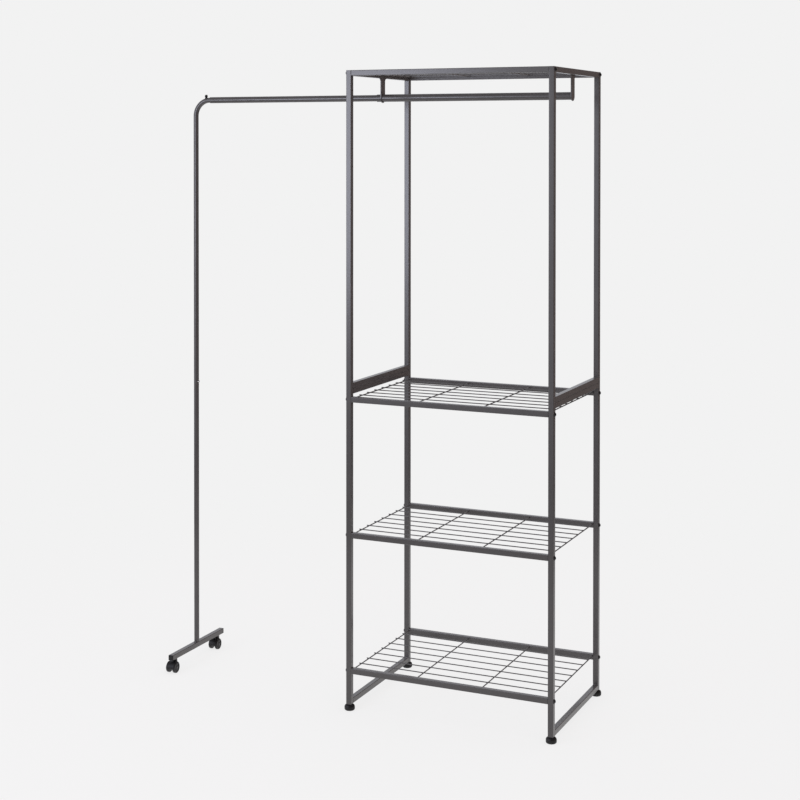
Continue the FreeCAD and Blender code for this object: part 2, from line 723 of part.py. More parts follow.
# Stems: pins pushed up into the base bar, on which the casters swivel
STEM_FOOT_Z = f"({AXLE_Z} - boss_below + stem_lip)"
stem = new_body("stem_form")
pad(stem, sketch(stem, "XY", "section", circle("0", "0", "stem_diameter")),
    f"({BASE_Z} + tube_side - tube_wall - stem_top_gap - {STEM_FOOT_Z})")
copies("caster_stems", stem, [
    (LEG_X, at(end, CASTER_Y), STEM_FOOT_Z) for end in ENDS.values()])


def caster_housing(name, axle_place):
    """The web between two wheels, the boss round the stem and the hood over the wheels."""
    body = keep(new_body(name, *axle_place))
    boss_top = f"({HOOD_RADIUS} + boss_rise)"
    pad(body, sketch(body, "XY", "boss", circle("0", "caster_trail", "web_width")),
        boss_top, below="boss_below")
    pad(body, sketch(body, "YZ", "web", outline(
        (f"-{HOOD_RADIUS}", "0", "0", "0", "right"),
        ("0", HOOD_RADIUS),
        ("caster_trail", HOOD_RADIUS),
        ("caster_trail", "-boss_below"),
        ("0", "-boss_below"),
    )), "web_width", symmetric=True)
    inner = f"({HOOD_RADIUS} - hood_thickness)"
    pad(body, sketch(body, "YZ", "hood", outline(
        (f"-{HOOD_RADIUS}", "0", "0", "0", "right"),
        (HOOD_RADIUS, "0"),
        (inner, "0", "0", "0", "left"),
        (f"-{inner}", "0"),
    )), "hood_width", symmetric=True)
    pocket(body, sketch(body, "XY", "stem_bore", circle("0", "caster_trail", STEM_BORE)),
           both=True)
    pocket(body, sketch(body, "YZ", "axle_bore", circle("0", "0", "axle_diameter")), both=True)


def caster_wheel(name, axle_place, left_right):
    """A wheel with a rounded tread, a rim, a sunk face and a hub closed on its outer side."""
    x, y, z = axle_place
    gap = "(web_width / 2 + wheel_side_gap)"
    start = f"({x} {'+' if left_right > 0 else '-'} {gap})"
    body = keep(new_body(name, start, y, z, 0 if left_right > 0 else 180))
    radius = "(wheel_diameter / 2)"
    face = "(wheel_width - wheel_recess)"
    bore = "(axle_diameter / 2 + axle_clearance)"
    hub_face = "(wheel_width - wheel_hub_inset)"
    bore_end = "(wheel_width - wheel_skin)"
    revolve(body, sketch(body, "XZ", "section", outline(
        ("0", bore),
        ("0", f"({radius} - wheel_edge)", "wheel_edge", f"({radius} - wheel_edge)", "right"),
        ("wheel_edge", radius),
        ("(wheel_width - wheel_edge)", radius,
         "(wheel_width - wheel_edge)", f"({radius} - wheel_edge)", "right"),
        ("wheel_width", f"({radius} - wheel_edge)"),
        ("wheel_width", f"({radius} - wheel_rim)"),
        (face, f"({radius} - wheel_rim)"),
        (face, "(wheel_hub / 2)"),
        (hub_face, "(wheel_hub / 2)"),
        (hub_face, "0"),
        (bore_end, "0"),
        (bore_end, bore),
    )), "H_Axis")


def caster_axle(name, axle_place):
    """A plain pin through the web, with both ends inside the wheels' hubs."""
    body = keep(new_body(name, *axle_place))
    pad(body, sketch(body, "YZ", "section", circle("0", "0", "axle_diameter")),
        f"({CASTER_WIDTH} - 2 * wheel_skin - 2 * axle_end_gap)", symmetric=True)


# Casters: both trail towards the front, with their wheels either side of the stem's plane
for end, front_rear in ENDS.items():
    axle_place = (LEG_X, f"({at(front_rear, CASTER_Y)} - caster_trail)", AXLE_Z)
    caster_housing(f"caster_housing_{end}", axle_place)
    caster_axle(f"caster_axle_{end}", axle_place)
    for side, left_right in SIDES.items():
        caster_wheel(f"caster_wheel_{end}_{side}", axle_place, left_right)

doc.recompute()
for item in doc.Objects:
    if "Invalid" in item.State or "Error" in item.State:
        raise RuntimeError(f"{item.Name} did not recompute: {item.State}")
    if item.TypeId == "PartDesign::Pocket" and item.Shape.Volume >= item.BaseFeature.Shape.Volume:
        raise RuntimeError(f"{item.Name} cuts nothing")
for piece in pieces:
    if piece.Shape.isNull() or not piece.Shape.isValid():
        raise RuntimeError(f"{piece.Label} has no valid shape")

os.makedirs("parts", exist_ok=True)
for piece in pieces:
    piece.Shape.exportStep(f"parts/{piece.Label}.step")
    print(f"{piece.Label}: {len(piece.Shape.Solids)} solid(s), {piece.Shape.Volume:.0f} mm3")
print(f"{len(pieces)} pieces")
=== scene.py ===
import json
import logging
import math
from collections.abc import Callable, Sequence
from dataclasses import dataclass, field
from enum import StrEnum, auto
from functools import partial

import bmesh
import bpy
from bmesh.types import BMEdge, BMesh, BMFace, BMVert
from mathutils import Matrix, Vector


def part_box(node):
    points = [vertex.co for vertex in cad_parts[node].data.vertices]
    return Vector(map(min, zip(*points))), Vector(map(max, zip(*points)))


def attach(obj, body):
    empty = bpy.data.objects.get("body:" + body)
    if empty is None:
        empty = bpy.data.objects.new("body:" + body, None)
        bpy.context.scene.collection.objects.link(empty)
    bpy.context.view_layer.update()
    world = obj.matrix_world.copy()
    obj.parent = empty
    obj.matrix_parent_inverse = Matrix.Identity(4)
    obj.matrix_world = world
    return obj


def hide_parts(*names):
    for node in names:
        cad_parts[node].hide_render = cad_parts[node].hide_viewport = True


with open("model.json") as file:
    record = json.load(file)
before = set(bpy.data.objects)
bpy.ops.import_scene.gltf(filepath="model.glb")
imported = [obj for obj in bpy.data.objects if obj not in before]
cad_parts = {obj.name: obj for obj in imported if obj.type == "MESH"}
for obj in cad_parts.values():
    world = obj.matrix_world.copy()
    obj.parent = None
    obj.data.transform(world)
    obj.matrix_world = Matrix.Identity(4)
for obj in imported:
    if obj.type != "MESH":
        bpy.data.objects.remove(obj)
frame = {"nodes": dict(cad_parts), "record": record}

LOG = logging.getLogger("clothes_rack")
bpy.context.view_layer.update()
Point = tuple[float, float]
Place = Vector | tuple[float, float, float]
Sockets = bpy.types.bpy_prop_collection
MM = 0.001
# Points that are closer than this become one
MERGE = 0.001 * MM
# Two faces that meet at more than this angle have a sharp edge between them
SHARP = math.radians(40.0)
X_AXIS = Vector((1.0, 0.0, 0.0))
Y_AXIS = Vector((0.0, 1.0, 0.0))
Z_AXIS = Vector((0.0, 0.0, 1.0))
# The numbers of the axes that a bar can run along
ALONG_X, ALONG_Y, ALONG_Z = range(3)
# How much of a face's normal lies along an axis that the face looks along
FACING = 0.97
# A weld bead's radius between its ripples, as a share of its full radius
RIPPLE = 0.84
# The band that nearly all values of a noise texture lie in
NOISE_BAND = (0.3, 0.7)
# A Mix node's sockets for colours
MIX_FACTOR, MIX_FIRST, MIX_SECOND, MIX_COLOUR = 0, 6, 7, 2
BODY_OF = {
    node: body
    for body, nodes in frame["record"]["behaviour"]["bodies"].items()
    for node in nodes
}


class Side(StrEnum):
    """The two sides of the rack, seen from the front."""

    LEFT = auto()
    RIGHT = auto()

    @property
    def sign(self) -> int:
        """Give -1 for the left and 1 for the right."""
        return -1 if self is Side.LEFT else 1


class End(StrEnum):
    """The front and the rear of the rack."""

    FRONT = auto()
    REAR = auto()


class Half(StrEnum):
    """The two halves that a side frame comes apart into."""

    UPPER = auto()
    LOWER = auto()


class SideBar(StrEnum):
    """The bars welded between the posts of a side, from the top down."""

    TOP = auto()
    JOINT_UPPER = auto()
    JOINT_LOWER = auto()
    FOOT = auto()


class Level(StrEnum):
    """The four shelves, from the top down."""

    TOP = auto()
    HIGH = auto()
    MIDDLE = auto()
    LOW = auto()


def linear(code: str) -> tuple[float, float, float, float]:
    """Turn a colour from sRGB hex to linear.

    Args:
        code: Six hex digits, such as "4b4e52".

    Returns:
        Red, green, blue and an alpha of 1.
    """
    channels = [int(code[start:start + 2], 16) / 255.0 for start in (0, 2, 4)]
    curved = [c / 12.92 if c <= 0.04045 else ((c + 0.055) / 1.055) ** 2.4 for c in channels]
    return (*curved, 1.0)


def add_node(tree: bpy.types.NodeTree, kind: str,
             inputs: Sequence[object] | dict[str | int, object] = (),
             **settings: object) -> Sockets:
    """Add a shader node with its settings, values and links.

    Args:
        tree: The node tree that gets the node.
        kind: The node's type name, after "ShaderNode".
        inputs: An output to link, or a value, for each input: in order, or by name or number.
        **settings: The node's own properties.

    Returns:
        The new node's outputs.
    """
    node = tree.nodes.new(f"ShaderNode{kind}")
    for name, value in settings.items():
        setattr(node, name, value)
    for name, value in inputs.items() if isinstance(inputs, dict) else enumerate(inputs):
        if isinstance(value, bpy.types.NodeSocket):
            tree.links.new(value, node.inputs[name])
        else:
            node.inputs[name].default_value = value
    return node.outputs


def empty_tree(owner: bpy.types.Material | bpy.types.World) -> Callable[..., Sockets]:
    """Clear the nodes of a material or a world.

    Args:
        owner: The material or the world.

    Returns:
        The function add_node for its tree.
    """
    owner.use_nodes = True
    owner.node_tree.nodes.clear()
    return partial(add_node, owner.node_tree)


@dataclass(frozen=True)
class Finish:
    """What every finish has: a name, the record's slot and the look of its surface.

    The grain is a fine unevenness that catches the light, and the mottle a slow change of
    colour across a piece.
    """

    name: str
    slot: str
    colour: str
    shade: str
    metallic: float
    roughness: float
    roughness_change: float
    grain_mm: float
    grain_depth_mm: float
    mottle_mm: float
    refraction: float = 1.5

    def material(self) -> bpy.types.Material:
        """Give the finish's material, made on first use."""
        return bpy.data.materials.get(self.name) or self.make()

    def make(self) -> bpy.types.Material:
        """Build the material's nodes.

        Returns:
            A material that reads object coordinates in metres.
        """
        material = bpy.data.materials.new(self.name)
        add = empty_tree(material)
        place = add("TexCoord")["Object"]
        mottle = add("TexNoise", {"Vector": place, "Scale": 1.0 / (self.mottle_mm * MM),
                                  "Detail": 3.0, "Roughness": 0.6})["Fac"]
        grain = add("TexNoise", {"Vector": place, "Scale": 1.0 / (self.grain_mm * MM),
                                 "Detail": 2.0, "Roughness": 0.5})["Fac"]
        spread = add("MapRange", (mottle, *NOISE_BAND))["Result"]
        colour = add("Mix", {MIX_FACTOR: spread, MIX_FIRST: linear(self.colour),
                             MIX_SECOND: linear(self.shade)}, data_type="RGBA")[MIX_COLOUR]
        rough = add("MapRange", (grain, *NOISE_BAND, self.roughness - self.roughness_change,
                                 self.roughness + self.roughness_change))["Result"]
        bump = add("Bump", {"Height": grain, "Strength": 1.0,
                            "Distance": self.grain_depth_mm * MM})["Normal"]
        shader = add("BsdfPrincipled", {
            "Base Color": colour, "Metallic": self.metallic, "Roughness": rough,
            "IOR": self.refraction, "Normal": bump})["BSDF"]
        add("OutputMaterial", (shader,))
        return material


# Each finish's numbers are its metallic share, its roughness and how much that changes, its
# grain, the grain's depth and its mottle in millimetres, and its IOR.

# Polyester powder coat on steel: sprayed dry and baked. It is satin, with a soft orange peel.
FRAME_PAINT = Finish("satin_powder_coat_on_frame", "frame_paint", "403e3e", "3b3939",
                     0.0, 0.25, 0.04, 1.8, 0.012, 60.0, 1.6)
PIPE_PAINT = Finish("satin_powder_coat_on_pipe", "pipe_paint", "3f3d3d", "3a3838",
                    0.0, 0.25, 0.04, 1.8, 0.012, 60.0, 1.6)
WIRE_PAINT = Finish("satin_powder_coat_on_wire", "wire_paint", "403e3e", "3b3939",
                    0.0, 0.28, 0.04, 1.2, 0.015, 40.0, 1.6)
# Steel bolts with a black oxide: a thin dull black that keeps the metal's gloss on its edges.
BLACK_OXIDE = Finish("black_oxide_steel", "black_bolt", "1b1b1d", "232325",
                     0.3, 0.40, 0.06, 0.8, 0.01, 6.0)
# Nickel-plated steel, barrel polished: bright, with a faint satin from the barrel.
NICKEL_PLATE = Finish("nickel_plated_steel", "bright_steel", "d4d2cd", "c6c4c0",
                      1.0, 0.18, 0.05, 0.5, 0.002, 8.0)
# Zinc-plated steel: dull silver, with the faint spangle of the bath.
ZINC_PLATE = Finish("zinc_plated_steel", "plated_steel", "a9abad", "9b9d9f",
                    1.0, 0.42, 0.08, 1.0, 0.004, 10.0)
# Polypropylene moulded in a spark-eroded mould: black, with a fine matt grain. Its pits swallow
# some of the gloss, so it bends light less than the solid plastic's 1.49.
MOULDED_BLACK = Finish("grained_black_polypropylene", "black_plastic", "101012", "161618",
                       0.0, 0.46, 0.06, 0.6, 0.02, 12.0, 1.38)
# Nylon moulded in a polished mould: black and smooth, worn a little duller where it rolls.
WHEEL_NYLON = Finish("smooth_black_nylon", "wheel_plastic", "121214", "19191b",
                     0.0, 0.34, 0.06, 1.5, 0.006, 9.0, 1.45)


@dataclass(frozen=True)
class Box:
    """A box in the rack's frame, in metres."""

    low: Vector
    high: Vector

    @classmethod
    def of(cls, node: str) -> "Box":
        """Give the box of a CAD node at rest."""
        return cls(*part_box(node))

    @property
    def middle(self) -> Vector:
        """Give the box's middle."""
        return (self.low + self.high) / 2.0

    @property
    def size(self) -> Vector:
        """Give the box's width, depth and height."""
        return self.high - self.low


def placed(name: str, data: bpy.types.ID) -> bpy.types.Object:
    """Put a new object into the scene.

    Args:
        name: The object's name.
        data: Its mesh, lamp or camera.

    Returns:
        The object.
    """
    item = bpy.data.objects.new(name, data)
    bpy.context.scene.collection.objects.link(item)
    return item


def solid(name: str, mesh: BMesh) -> bpy.types.Object:
    """Turn a mesh in the making into an object of the scene.

    Args:
        name: The object's name.
        mesh: Its shape; it is freed.

    Returns:
        The new object.
    """
    data = bpy.data.meshes.new(name)
    mesh.to_mesh(data)
    mesh.free()
    return placed(name, data)


def close_up(mesh: BMesh) -> None:
    """Merge doubles and turn each closed shell's faces outwards, by the sign of its volume.

    Args:
        mesh: The mesh that holds the shells.
    """
    bmesh.ops.remove_doubles(mesh, verts=mesh.verts, dist=MERGE)
    bmesh.ops.recalc_face_normals(mesh, faces=mesh.faces)
    left = set(mesh.faces)
    while left:
        shell, found = [], [left.pop()]
        while found:
            face = found.pop()
            shell.append(face)
            near = {other for edge in face.edges for other in edge.link_faces} & left
            left -= near
            found += near
        volume = sum(face.normal.dot(face.verts[0].co) * face.calc_area() for face in shell)
        if volume < 0.0:
            bmesh.ops.reverse_faces(mesh, faces=shell)


def make_piece(name: str, mesh: BMesh, finish: Finish, node: str) -> None:
    """Turn a mesh in the making into a finished piece that stands for a CAD node.

    Args:
        name: The piece's name.
        mesh: Its shape, in metres in the rack's frame; it is freed.
        finish: What its surface is made of.
        node: The CAD node, on whose body the piece rides.
    """
    close_up(mesh)
    piece = solid(name, mesh)
    data = piece.data
    data.polygons.foreach_set("use_smooth", [True] * len(data.polygons))
    data.set_sharp_from_angle(angle=SHARP)
    data.materials.append(finish.material())
    normals = piece.modifiers.new("flat_faces_first", "WEIGHTED_NORMAL")
    normals.keep_sharp = True
    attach(piece, BODY_OF[node])
    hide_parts(node)
    LOG.info("%s: %d faces, rides on %s", name, len(data.polygons), BODY_OF[node])


def turn_towards(axis: Vector, place: Place) -> Matrix:
    """Give the matrix that turns +Z to an axis and then moves the origin to a place."""
    return Matrix.Translation(place) @ Z_AXIS.rotation_difference(axis).to_matrix().to_4x4()


def turned(mesh: BMesh, profile: Sequence[Point], place: Place, axis: Vector = Z_AXIS,
           steps: int = 32) -> list[BMVert]:
    """Spin a profile a full turn about an axis, as on a lathe.

    Args:
        mesh: The mesh that gets it.
        profile: Points as (radius, height along the axis). One that starts off the axis is a
            loop, such as the section of a tube's wall.
        place: Where the axis starts.
        axis: Which way its height goes.
        steps: How many flats the full turn has.

    Returns:
        The shape's vertices.
    """
    before = set(mesh.verts)
    points = [mesh.verts.new((radius, 0.0, height)) for radius, height in profile]
    edges = [mesh.edges.new(pair) for pair in zip(points, points[1:])]
    if profile[0][0] > 0.0:
        edges.append(mesh.edges.new((points[-1], points[0])))
    bmesh.ops.spin(mesh, geom=points + edges, cent=(0.0, 0.0, 0.0), axis=Z_AXIS,
                   angle=2.0 * math.pi, steps=steps, use_merge=True, use_duplicate=False)
    made = [vert for vert in mesh.verts if vert not in before]
    bmesh.ops.transform(mesh, matrix=turn_towards(axis, place), verts=made)
    return made


def arc(centre: Point, radius: float, start: float, end: float, steps: int = 5) -> list[Point]:
    """Give the points of an arc, for a profile.

    Args:
        centre: The arc's centre in the profile.
        radius: Its radius in metres.
        start: The angle of its first point in degrees, from the profile's first axis.
        end: The angle of its last point.
        steps: How many edges it has.

    Returns:
        The points from the first to the last.
    """
    angles = [math.radians(start + (end - start) * step / steps) for step in range(steps + 1)]
    return [(centre[0] + radius * math.cos(a), centre[1] + radius * math.sin(a)) for a in angles]


def bead_section(ring: float, radius: float) -> list[Point]:
    """Give the eight points of a bead's round section, at the ring's distance from an axis."""
    return arc((ring, 0.0), radius, 0.0, 315.0, steps=7)


def ease(mesh: BMesh, edges: Sequence[BMEdge], offset: float, segments: int = 2) -> None:
    """Round edges off.

    Args:
        mesh: The mesh that holds the edges.
        edges: The edges.
        offset: How far from an edge its rounding starts.
        segments: How many flats the rounding has.
    """
    bmesh.ops.bevel(mesh, geom=edges, offset=offset, offset_type="OFFSET", segments=segments,
                    profile=0.5, affect="EDGES", material=-1)


def end_faces(mesh: BMesh, along: int) -> list[BMFace]:
    """Give the faces that look along an axis, the lowest first."""
    return sorted((face for face in mesh.faces if abs(face.normal[along]) > FACING),
                  key=lambda face: face.calc_center_median()[along])


@dataclass(frozen=True)
class SquareTube:
    """The square steel tube that the frame and the base are made of."""

    corner: float = 1.6 * MM
    wall: float = 1.2 * MM
    end_edge: float = 0.35 * MM

    def bar(self, box: Box, along: int, bored: int = 0, depth: float = 0.0) -> BMesh:
        """Make a bar with rounded long edges and eased ends.

        Args:
            box: The bar's outer box.
            along: The number of the axis that it runs along.
            bored: How many ends show as a tube, the lower one first.
            depth: How far their bores go in.

        Returns:
            The bar in a mesh of its own.
        """
        mesh = bmesh.new()
        shape = Matrix.Translation(box.middle) @ Matrix.Diagonal((*box.size, 1.0))
        bmesh.ops.create_cube(mesh, size=1.0, matrix=shape)
        long_edges = [edge for edge in mesh.edges
                      if abs((edge.verts[0].co - edge.verts[1].co)[along]) > MERGE]
        ease(mesh, long_edges, self.corner, segments=4)
        rims = [edge for face in end_faces(mesh, along) for edge in face.edges]
        ease(mesh, rims, self.end_edge)
        for face in end_faces(mesh, along)[:bored]:
            inwards = -face.normal.copy()
            bmesh.ops.inset_individual(mesh, faces=[face], thickness=self.wall,
                                       use_even_offset=True)
            pushed = bmesh.ops.extrude_face_region(mesh, geom=[face])["geom"]
            moved = [item for item in pushed if isinstance(item, BMVert)]
            bmesh.ops.translate(mesh, verts=moved, vec=inwards * depth)
            bmesh.ops.delete(mesh, geom=[face], context="FACES_ONLY")
        return mesh


def round_bar(mesh: BMesh, start: Place, end: Place, radius: float, edge: float,
              steps: int = 16) -> None:
    """Make a round bar or wire between two points, with eased ends.

    Args:
        mesh: The mesh that gets it.
        start: The middle of its first end.
        end: The middle of its last end.
        radius: Its radius.
        edge: How far its ends are eased.
        steps: How many flats it has.
    """
    run = Vector(end) - Vector(start)
    half = [(0.0, 0.0), (radius - edge, 0.0), (radius, edge)]
    profile = half + [(r, run.length - height) for r, height in reversed(half)]
    turned(mesh, profile, start, run.normalized(), steps)


def weld_bead(mesh: BMesh, start: Place, end: Place, radius: float, ripples: int) -> None:
    """Lay a weld bead along a line, with the ripples that the arc leaves.

    Args:
        mesh: The mesh that gets it.
        start: Where the bead starts.
        end: Where it ends.
        radius: Its radius.
        ripples: How many ripples it has.
    """
    run = Vector(end) - Vector(start)
    profile = [(0.0, 0.0)]
    for step in range(2 * ripples + 1):
        swell = 1.0 if step % 2 else RIPPLE
        profile.append((radius * swell, run.length * (step + 0.5) / (2 * ripples + 2)))
    profile.append((0.0, run.length))
    turned(mesh, profile, start, run.normalized(), steps=8)


def ring_bead(mesh: BMesh, place: Place, axis: Vector, ring: float, radius: float,
              ripples: int) -> None:
    """Lay a rippled weld bead round a bar that stands on a face.

    Args:
        mesh: The mesh that gets it.
        place: Where the bar's axis meets the face.
        axis: The bar's direction.
        ring: The radius of the bead's middle line.
        radius: The bead's own radius.
        ripples: How many ripples it has.
    """
    turn = turn_towards(axis, place)
    back = turn.inverted()
    section = bead_section(ring, radius)
    for vert in turned(mesh, section, place, axis, steps=2 * ripples):
        local = back @ vert.co
        angle = math.atan2(local.y, local.x)
        if round(angle * ripples / math.pi) % 2:
            line = Vector((math.cos(angle), math.sin(angle), 0.0)) * ring
            vert.co = turn @ line.lerp(local, RIPPLE)


def grown(mesh: BMesh, rim: Sequence[BMEdge], move: Vector, scale: float = 1.0) -> list[BMEdge]:
    """Add one ring of faces to an open rim.

    Args:
        mesh: The mesh that holds the rim.
        rim: The rim's edges.
        move: How far the new rim lies from the old one.
        scale: The new rim's size as a share of the old one's.

    Returns:
        The new rim's edges.
    """
    made = bmesh.ops.extrude_edge_only(mesh, edges=rim)["geom"]
    verts = [item for item in made if isinstance(item, BMVert)]
    middle = sum((vert.co for vert in verts), Vector()) / len(verts)
    shape = (Matrix.Translation(middle + move) @ Matrix.Scale(scale, 4)
             @ Matrix.Translation(-middle))
    bmesh.ops.transform(mesh, matrix=shape, verts=verts)
    fresh = set(verts)
    return [item for item in made if isinstance(item, BMEdge) and set(item.verts) <= fresh]


def tube(mesh: BMesh, place: Place, axis: Vector, length: float, outer: float, inner: float,
         edge: float, steps: int) -> None:
    """Make a round tube with eased mouths.

    Args:
        mesh: The mesh that gets it.
        place: The middle of its first mouth.
        axis: Its direction.
        length: Its length.
        outer: Its outer radius.
        inner: Its bore's radius.
        edge: How far its mouths are eased.
        steps: How many flats it has.
    """
    half = [(inner, edge), (inner + edge, 0.0), (outer - edge, 0.0), (outer, edge)]
    profile = half + [(r, length - height) for r, height in reversed(half)]
    turned(mesh, profile, place, axis, steps)


def make_pipe(name: str, node: str, wall: float, edge: float) -> None:
    """Make a straight pipe along X as a piece of its own.

    Args:
        name: The piece's name.
        node: The CAD node that it stands for.
        wall: Its wall.
        edge: How far its mouths are eased.
    """
    box = Box.of(node)
    outer = box.size.y / 2.0
    mesh = bmesh.new()
    tube(mesh, (box.low.x, 0.0, box.middle.z), X_AXIS, box.size.x, outer, outer - wall, edge,
         steps=48)
    make_piece(name, mesh, PIPE_PAINT, node)


def slab(mesh: BMesh, outlines: Sequence[Sequence[Point]], low: float, thickness: float,
         edge: float) -> None:
    """Make a flat plate across X from outlines in Y and Z, with eased rims.

    Args:
        mesh: The mesh that gets it.
        outlines: The plate's outline, in parts that share their seams.
        low: Where the plate starts along X.
        thickness: How thick it is.
        edge: The radius of its rims.
    """
    before = set(mesh.verts)
    faces = [mesh.faces.new([mesh.verts.new((low, y, z)) for y, z in outline])
             for outline in outlines]
    made = [vert for vert in mesh.verts if vert not in before]
    bmesh.ops.remove_doubles(mesh, verts=made, dist=MERGE)
    upper = bmesh.ops.extrude_face_region(mesh, geom=faces)["geom"]
    moved = [item for item in upper if isinstance(item, BMVert)]
    bmesh.ops.translate(mesh, verts=moved, vec=X_AXIS * thickness)
    made = [vert for vert in mesh.verts if vert not in before]
    rounds = {item for vert in made for item in vert.link_faces}
    bmesh.ops.recalc_face_normals(mesh, faces=list(rounds))
    rims = {item for vert in made for item in vert.link_edges
            if abs(item.verts[0].co.x - item.verts[1].co.x) < MERGE
            and item.calc_face_angle(0.0) > SHARP}
    ease(mesh, list(rims), edge)


def eased_block(mesh: BMesh, middle: Vector, size: Sequence[float], edge: float,
                segments: int = 2, turn: Matrix | None = None) -> None:
    """Make a small block with all its edges rounded.

    Args:
        mesh: The mesh that gets it.
        middle: Its middle.
        size: Its size along its own axes.
        edge: The radius of its edges.
        segments: How many flats an edge has.
        turn: How it is turned about its middle.
    """
    shape = Matrix.Translation(middle) @ (turn or Matrix()) @ Matrix.Diagonal((*size, 1.0))
    made = bmesh.ops.create_cube(mesh, size=1.0, matrix=shape)["verts"]
    ease(mesh, list({item for vert in made for item in vert.link_edges}), edge, segments)


def drilled(mesh: BMesh, drill: BMesh) -> BMesh:
    """Cut one closed shape out of another.

    Args:
        mesh: The shape that is cut; it is freed.
        drill: The shape that is taken out of it; it is freed too.

    Returns:
        The mesh that is left.
    """
    for shape in (mesh, drill):
        close_up(shape)
    blank, bit = solid("blank", mesh), solid("bit", drill)
    cut = blank.modifiers.new("cut", "BOOLEAN")
    cut.operation, cut.solver, cut.object = "DIFFERENCE", "EXACT", bit
    left = bmesh.new()
    left.from_object(blank, bpy.context.evaluated_depsgraph_get())
    for item in (blank, bit):
        bpy.data.objects.remove(item)
    return left


@dataclass
class SideFrame:
    """One side of the rack: two posts and two welded bars in each of its halves."""

    side: Side
    steel: SquareTube = SquareTube()
    bore_depth: float = 40.0 * MM
    bead: float = 1.5 * MM
    ripples: int = 6

    def build(self) -> None:
        """Make the posts and the bars of both halves."""
        for end in End:
            for half in Half:
                self.post(half, end)
        for level in SideBar:
            self.bar(level)

    def post(self, half: Half, end: End) -> None:
        """Make a post that is open below and closed above.

        Args:
            half: The half of the side that it belongs to.
            end: Whether it stands at the front or the rear.
        """
        node = f"post_{half}_{self.side}_{end}"
        mesh = self.steel.bar(Box.of(node), ALONG_Z, 1, self.bore_depth)
        make_piece(f"{half}_post_{self.side}_{end}", mesh, FRAME_PAINT, node)

    def bar(self, level: SideBar) -> None:
        """Make a bar with the weld beads that hold it between the posts.

        Args:
            level: Which bar it is. The beads lie where the bar's half of the side goes on.
        """
        node = f"side_bar_{self.side}_{level}"
        box = Box.of(node)
        mesh = self.steel.bar(box, ALONG_Y)
        height = box.high.z if level in (SideBar.JOINT_UPPER, SideBar.FOOT) else box.low.z
        ends = box.low.x + self.steel.corner, box.high.x - self.steel.corner
        for y in (box.low.y, box.high.y):
            weld_bead(mesh, *[(x, y, height) for x in ends], self.bead, self.ripples)
        make_piece(f"side_bar_{level}_{self.side}", mesh, FRAME_PAINT, node)


@dataclass
class Shelf:
    """A wire shelf and the two bolted rails that carry it."""

    level: Level
    steel: SquareTube = SquareTube()
    long_wire: float = 1.5 * MM
    long_edge: float = 0.45 * MM
    cross_wire: float = 1.75 * MM
    cross_edge: float = 0.175 * MM
    nugget_radius: float = 2.1 * MM
    nugget_flatness: float = 0.45
    long_wires: int = 7
    cross_wires: int = 4
    long_pitch: float = 51.0 * MM
    overhang: float = 4.0 * MM
    top_overhang: float = 1.75 * MM

    def build(self) -> None:
        """Make both rails and the wires between them."""
        for end in End:
            self.rail(f"rail_{self.level}_{end}", end)
        self.wires()

    def rail(self, node: str, end: End) -> None:
        """Make the front or the rear rail."""
        mesh = self.steel.bar(Box.of(node), ALONG_X)
        make_piece(f"{self.level}_rail_{end}", mesh, FRAME_PAINT, node)

    def wires(self) -> None:
        """Make the long wires, the cross wires under them and their weld nuggets."""
        node = f"wire_shelf_{self.level}"
        box = Box.of(node)
        overhang = self.top_overhang if self.level is Level.TOP else self.overhang
        mesh = bmesh.new()
        long_z = box.high.z - self.long_wire
        cross_z = box.low.z + self.cross_wire
        end_x = box.size.x / 2.0 - overhang
        half = (self.long_wires - 1) / 2.0
        rows = [(count - half) * self.long_pitch for count in range(self.long_wires)]
        steps = self.cross_wires - 1
        columns = [box.middle.x + end_x * (2.0 * count / steps - 1.0)
                   for count in range(self.cross_wires)]
        for y in rows:
            round_bar(mesh, (box.low.x, y, long_z), (box.high.x, y, long_z), self.long_wire,
                      self.long_edge)
        for x in columns:
            round_bar(mesh, (x, box.low.y, cross_z), (x, box.high.y, cross_z),
                      self.cross_wire, self.cross_edge)
            for y in rows:
                self.nugget(mesh, (x, y, (long_z + cross_z) / 2.0))
        make_piece(f"{self.level}_wires", mesh, WIRE_PAINT, node)

    def nugget(self, mesh: BMesh, place: Place) -> None:
        """Add the small flat swelling where two wires are welded.

        Args:
            mesh: The mesh that gets it.
            place: Its middle.
        """
        made = bmesh.ops.create_uvsphere(mesh, u_segments=10, v_segments=6,
                                         radius=self.nugget_radius)["verts"]
        bmesh.ops.scale(mesh, vec=(1.0, 1.0, self.nugget_flatness), verts=made)
        bmesh.ops.translate(mesh, vec=place, verts=made)


